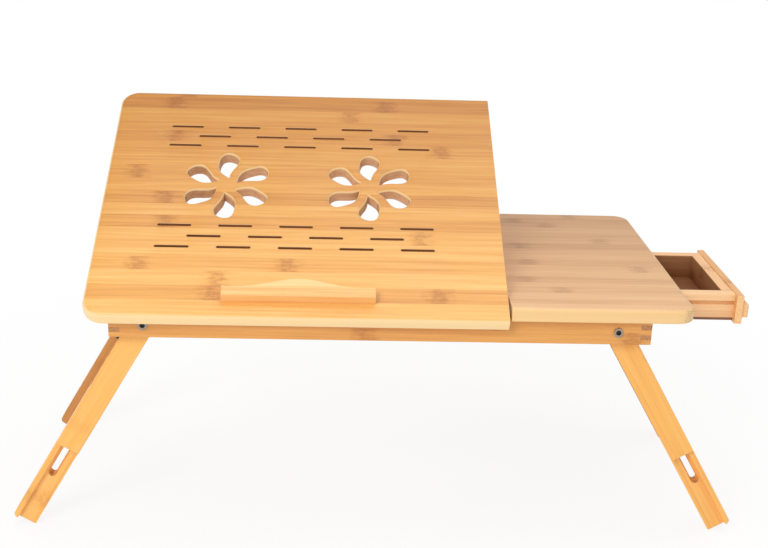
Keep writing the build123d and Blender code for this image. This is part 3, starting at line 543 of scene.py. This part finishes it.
# drawer: sides along the stand, walls, face and pull across it, darker inside with painted shade
drawerBoards = {
    "boards": {
        "drawer_side_front": ((1, 0, 0), (0, 0, 1), 31, "wall"),
        "drawer_side_rear": ((1, 0, 0), (0, 0, 1), 32, "wall"),
        "drawer_front": ((0, 1, 0), (0, 0, 1), 33, "wall"),
        "drawer_back": ((0, 1, 0), (0, 0, 1), 34, "wall"),
        "drawer_bottom": ((1, 0, 0), (0, 1, 0), 35, "floor"),
        "drawer_face": ((0, 1, 0), (0, 0, 1), 36, "face"),
        "drawer_pull": ((0, 1, 0), (0, 0, 1), 37, "face")},
    "stripWidth": 12.0,
    # the walls' inside tint is painted shade inside the box
    "wall": {"pale": "#FFDCA6", "middle": "#FAC690", "dark": "#D89C66", "insideTint": "#8C6A52"},
    "face": {"pale": "#F6CA8C", "middle": "#E8AE70", "dark": "#C48648",
             "endPale": "#FFCC8E", "endDark": "#F0B478"},
    # the bottom's brown colours are painted shade, down in the box
    "floor": {"pale": "#9C6A45", "middle": "#845534", "dark": "#664026"},
}
boxLow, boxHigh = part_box("drawer_bottom")
boxCentre = (Vector(boxLow) + Vector(boxHigh)) / 2
for board, (grain, across, seed, kind) in drawerBoards["boards"].items():
    look = dict(drawerBoards[kind])
    if kind == "wall":
        # the wall's square direction into the box
        low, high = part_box(board)
        square = Vector(grain).cross(Vector(across))
        look["inside"] = square * math.copysign(1, square.dot(boxCentre - (Vector(low) + Vector(high)) / 2))
    dressBoard(board, grain, across, seed, drawerBoards["stripWidth"], look)
print("frame and drawer dressed")

# legs: grain along the splayed leg, few strips, hardly any growth nodes
legs = {
    "splay": math.radians(30.4), "stripWidth": 11.4, "width": 22.8, "length": 243.0,
    "frontSeed": 50, "rearSeed": 57,
    "upper": {"pale": "#FFD084", "middle": "#FFBC5E", "dark": "#DE923E", "toneSwing": 0.10,
              "fibreSwing": 0.28, "streakSwing": 0.24, "knotSwing": 0.10, "knotShare": 0.10},
    "lower": {"pale": "#FFD084", "middle": "#FFBC60", "dark": "#D88C3C", "toneSwing": 0.10,
              "fibreSwing": 0.32, "streakSwing": 0.26, "knotSwing": 0.22, "knotShare": 0.25},
    # the rear legs are a darker copy of the same bamboo: painted shade
    "rear": {"pale": "#E3A65A", "middle": "#D18C44", "dark": "#AE6C2C", "toneSwing": 0.10,
             "fibreSwing": 0.28, "streakSwing": 0.24, "knotSwing": 0.10, "knotShare": 0.10},
}
for row in ("front", "rear"):
    for side, sign in (("left", -1), ("right", 1)):
        grain = (sign * math.sin(legs["splay"]), 0, -math.cos(legs["splay"]))
        across = (math.cos(legs["splay"]), 0, sign * math.sin(legs["splay"]))
        for part in ("upper", "lower"):
            node = part + "_leg_" + row + "_" + side
            low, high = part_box(node)
            # the board's frame starts at the leg's upper end, on its edge towards the left
            start = Vector((high[0] if sign < 0 else low[0], low[1], high[2]))
            seed = legs[row + "Seed"] + len(node)
            strips = looseStrips(legs["width"], legs["stripWidth"], legs["length"], seed)
            # the rear legs take the darker colours of painted shade
            look = legs["rear"] if row == "rear" else legs[part]
            dress(node, bambooMaterial("lacqueredBamboo." + node, start, grain, across, strips,
                                       (legs["width"], legs["length"]), look))

# prop under the tilting top: its arms swing out from the top by a share of the top's slope
prop = {
    "swing": 0.732, "armWidth": 10.0, "armLength": 110.0, "armSeed": 71,
    "blockWidth": 13.0, "blockLength": 60.0, "blockSeed": 72,
}
armSlope = tilt * (1 + prop["swing"])
armGrain = (0, -math.cos(armSlope), -math.sin(armSlope))
armAcross = (0, -math.sin(armSlope), math.cos(armSlope))
armStrips = looseStrips(prop["armWidth"], prop["armWidth"], prop["armLength"], prop["armSeed"])
for node in ("prop_arm_left", "prop_arm_right"):
    low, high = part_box(node)
    dress(node, bambooMaterial("lacqueredBamboo." + node, (low[0], high[1], high[2]), armGrain, armAcross,
                               armStrips, (prop["armWidth"], prop["armLength"]), frameBoards["look"]))
blockStrips = looseStrips(prop["blockWidth"], prop["blockWidth"], prop["blockLength"], prop["blockSeed"])
dress("prop_brackets", bambooMaterial("lacqueredBamboo.prop_brackets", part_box("prop_brackets")[0],
                                      panelSlope, panelUp, blockStrips,
                                      (prop["blockWidth"], prop["blockLength"]), frameBoards["look"]))
print("legs and prop dressed")

# fittings: sizes in metres, patterns in their number per metre
pivotLeft, pivotRight = jointPlace["leg_fold_front_left"], jointPlace["leg_fold_front_right"]
fittings = {
    "steel": {"color": "#8D8C8A", "roughness": 0.34}, "brass": {"color": "#C9A35C", "roughness": 0.30},
    "clouds": 900.0, "cloudDetail": 3.0, "shinier": 0.08, "duller": 0.10,    # clouds 1.1 mm across
    # the bolt's dark colour is painted shade in the socket
    "bolt": {"dark": "#3C332B", "bright": "#A69C8E", "socket": 0.0023, "inwards": 0.0002, "outwards": 0.0004,
             "roughness": 0.3},
    "nylon": {"color": "#1C1B1A", "roughness": 0.52, "ior": 1.53, "grit": 2500.0, "gritDetail": 2.0,
              "bump": 0.00008, "bumpStrength": 0.4},    # grit 0.4 mm across
}


def metalMaterial(name, metal):
    # zinc-plated steel or turned brass: its colour with a slightly uneven dull shine
    material, tree = newMaterial(name)
    place = addNode(tree, "ShaderNodeTexCoord")
    cloud = addNode(tree, "ShaderNodeTexNoise", None, {
        "Vector": place.outputs["Object"], "Scale": fittings["clouds"], "Detail": fittings["cloudDetail"]})
    dull = addNode(tree, "ShaderNodeMapRange", None, {
        "Value": cloud, "To Min": metal["roughness"] - fittings["shinier"],
        "To Max": metal["roughness"] + fittings["duller"]})
    shader = addNode(tree, "ShaderNodeBsdfPrincipled", None, {
        "Base Color": toLinear(metal["color"]), "Metallic": 1.0, "Roughness": dull})
    addNode(tree, "ShaderNodeOutputMaterial", None, {"Surface": shader})
    return material


def boltMaterial(name, bolt):
    # socket-head bolt: a bright turned ring round a hexagon socket darkened with painted shade; the
    # distance from the bolt's axis is taken on the left and the right side of the stand at once
    middle, reach = (pivotLeft[0] + pivotRight[0]) / 2, (pivotRight[0] - pivotLeft[0]) / 2
    material, tree = newMaterial(name)
    place = addNode(tree, "ShaderNodeTexCoord")
    axes = addNode(tree, "ShaderNodeSeparateXYZ", None, {"Vector": place.outputs["Object"]})
    fromMiddle = addNode(tree, "ShaderNodeMath", {"operation": "SUBTRACT"}, {0: axes.outputs["X"], 1: middle})
    sideways = addNode(tree, "ShaderNodeMath", {"operation": "ABSOLUTE"}, {0: fromMiddle})
    flat = addNode(tree, "ShaderNodeCombineXYZ", None, {"X": sideways, "Z": axes.outputs["Z"]})
    radius = addNode(tree, "ShaderNodeVectorMath", {"operation": "DISTANCE"}, {
        0: flat, 1: (reach, 0.0, pivotLeft[2])})
    ring = addNode(tree, "ShaderNodeMapRange", {"interpolation_type": "SMOOTHSTEP"}, {
        "Value": radius, "From Min": bolt["socket"] - bolt["inwards"],
        "From Max": bolt["socket"] + bolt["outwards"]})
    color = addNode(tree, "ShaderNodeMix", {"data_type": "RGBA"}, {
        "Factor": ring, "A": toLinear(bolt["dark"]), "B": toLinear(bolt["bright"])})
    shader = addNode(tree, "ShaderNodeBsdfPrincipled", None, {
        "Base Color": color, "Metallic": 1.0, "Roughness": bolt["roughness"]})
    addNode(tree, "ShaderNodeOutputMaterial", None, {"Surface": shader})
    return material


def nylonMaterial(name, nylon):
    # moulded nylon: near black with a fine spark-eroded texture
    material, tree = newMaterial(name)
    place = addNode(tree, "ShaderNodeTexCoord")
    grit = addNode(tree, "ShaderNodeTexNoise", None, {
        "Vector": place.outputs["Object"], "Scale": nylon["grit"], "Detail": nylon["gritDetail"]})
    relief = addNode(tree, "ShaderNodeBump", None, {
        "Strength": nylon["bumpStrength"], "Distance": nylon["bump"], "Height": grit})
    shader = addNode(tree, "ShaderNodeBsdfPrincipled", None, {
        "Base Color": toLinear(nylon["color"]), "Roughness": nylon["roughness"], "IOR": nylon["ior"],
        "Normal": relief})
    addNode(tree, "ShaderNodeOutputMaterial", None, {"Surface": shader})
    return material


zincSteel = metalMaterial("zincPlatedSteel", fittings["steel"])
turnedBrass = metalMaterial("turnedBrass", fittings["brass"])
knobNylon = nylonMaterial("mouldedNylon", fittings["nylon"])
boltSteel = boltMaterial("zincPlatedSocketBolt", fittings["bolt"])
for node in frame["nodes"]:
    if node == "pivot_bolts":
        dress(node, boltSteel)
    elif node.startswith(("hinge_", "pivot_", "prop_pins", "prop_foot_bar")):
        dress(node, zincSteel)
    elif node.startswith("leg_insert"):
        dress(node, turnedBrass)
    elif node.startswith("clamp_knob"):
        dress(node, knobNylon)
print("fittings dressed")

# floor: white to the camera, with a faint share of real shadow near the stand
floor = {"half": 12.0, "color": "#FFFFFF", "shadowShare": 0.16, "fadeFrom": 0.35, "fadeTo": 0.85}
corners = np.array([(-1, -1, 0), (1, -1, 0), (1, 1, 0), (-1, 1, 0)]) * floor["half"]
floorMesh = bpy.data.meshes.new("studioFloor")
floorMesh.from_pydata(corners.tolist(), [], [(0, 1, 2, 3)])
floorObject = bpy.data.objects.new("studioFloor", floorMesh)
bpy.context.scene.collection.objects.link(floorObject)
floorMaterial, floorTree = newMaterial("paintedStudioFloor")
floorPlace = addNode(floorTree, "ShaderNodeTexCoord")
distance = addNode(floorTree, "ShaderNodeVectorMath", {"operation": "LENGTH"}, {
    0: floorPlace.outputs["Object"]})
near = addNode(floorTree, "ShaderNodeMapRange", {"interpolation_type": "SMOOTHSTEP"}, {
    "Value": distance, "From Min": floor["fadeFrom"], "From Max": floor["fadeTo"],
    "To Min": floor["shadowShare"], "To Max": 0.0})
rays = addNode(floorTree, "ShaderNodeLightPath")
seen = addNode(floorTree, "ShaderNodeMath", {"operation": "MAXIMUM"}, {
    0: rays.outputs["Is Camera Ray"], 1: rays.outputs["Is Glossy Ray"]})
unshaded = addNode(floorTree, "ShaderNodeMath", {"operation": "SUBTRACT"}, {0: 1.0, 1: near})
whiteShare = addNode(floorTree, "ShaderNodeMath", {"operation": "MULTIPLY"}, {0: seen, 1: unshaded})
painted = addNode(floorTree, "ShaderNodeBsdfDiffuse", None, {"Color": toLinear(floor["color"])})
white = addNode(floorTree, "ShaderNodeEmission", None, {"Color": toLinear(floor["color"]), "Strength": 1.0})
floorMix = addNode(floorTree, "ShaderNodeMixShader", None, {0: whiteShare, 1: painted, 2: white})
addNode(floorTree, "ShaderNodeOutputMaterial", None, {"Surface": floorMix})
floorMesh.materials.append(floorMaterial)

# white studio all round, and soft lamps in front and above: place, target, size and power
studio = {
    "ambient": 0.60,
    "lamps": {
        "frontSoftbox": ((-1.0, -1.7, 1.6), (0.0, -0.1, 0.25), 0.9, 19.0),
        "topSoftbox": ((0.3, 0.1, 1.9), (0.0, 0.0, 0.2), 1.6, 11.0)},
}
world = bpy.data.worlds.new("whiteStudio")
bpy.context.scene.world = world
world.use_nodes = True
worldTree = world.node_tree
worldTree.nodes.clear()
worldRays = addNode(worldTree, "ShaderNodeLightPath")
worldSeen = addNode(worldTree, "ShaderNodeMath", {"operation": "MAXIMUM"}, {
    0: worldRays.outputs["Is Camera Ray"], 1: worldRays.outputs["Is Transmission Ray"]})
strength = addNode(worldTree, "ShaderNodeMapRange", None, {
    "Value": worldSeen, "To Min": studio["ambient"], "To Max": 1.0})
sky = addNode(worldTree, "ShaderNodeBackground", None, {"Color": (1, 1, 1, 1), "Strength": strength})
addNode(worldTree, "ShaderNodeOutputWorld", None, {"Surface": sky})
for name, (place, target, size, power) in studio["lamps"].items():
    lamp = bpy.data.lights.new(name, "AREA")
    lamp.size = size
    lamp.energy = power
    lampObject = bpy.data.objects.new(name, lamp)
    aim = (Vector(target) - Vector(place)).to_track_quat("-Z", "Y")
    lampObject.matrix_world = Matrix.Translation(place) @ aim.to_matrix().to_4x4()
    bpy.context.scene.collection.objects.link(lampObject)

# camera: placed by the photograph's perspective, in metres, radians and, for the lens, mm
view = {"place": (-0.04686, -1.13859, 0.61998), "yaw": 0.04035, "pitch": 0.33905, "roll": 0.03092,
        "lens": 56.17, "sensor": 36.0, "clipEnd": 60.0}
ahead = Vector((math.sin(view["yaw"]) * math.cos(view["pitch"]),
                math.cos(view["yaw"]) * math.cos(view["pitch"]), -math.sin(view["pitch"])))
level = Vector((math.cos(view["yaw"]), -math.sin(view["yaw"]), 0))
rise = level.cross(ahead)
right = level * math.cos(view["roll"]) + rise * math.sin(view["roll"])
upward = rise * math.cos(view["roll"]) - level * math.sin(view["roll"])
camera = bpy.data.cameras.new("productCamera")
camera.lens = view["lens"]
camera.sensor_width = view["sensor"]
camera.clip_end = view["clipEnd"]
cameraObject = bpy.data.objects.new("productCamera", camera)
turned = Matrix((right, upward, -ahead)).transposed().to_4x4()
cameraObject.matrix_world = Matrix.Translation(view["place"]) @ turned
bpy.context.scene.collection.objects.link(cameraObject)
bpy.context.scene.camera = cameraObject
bpy.context.scene.view_settings.view_transform = "Standard"
print("studio ready")
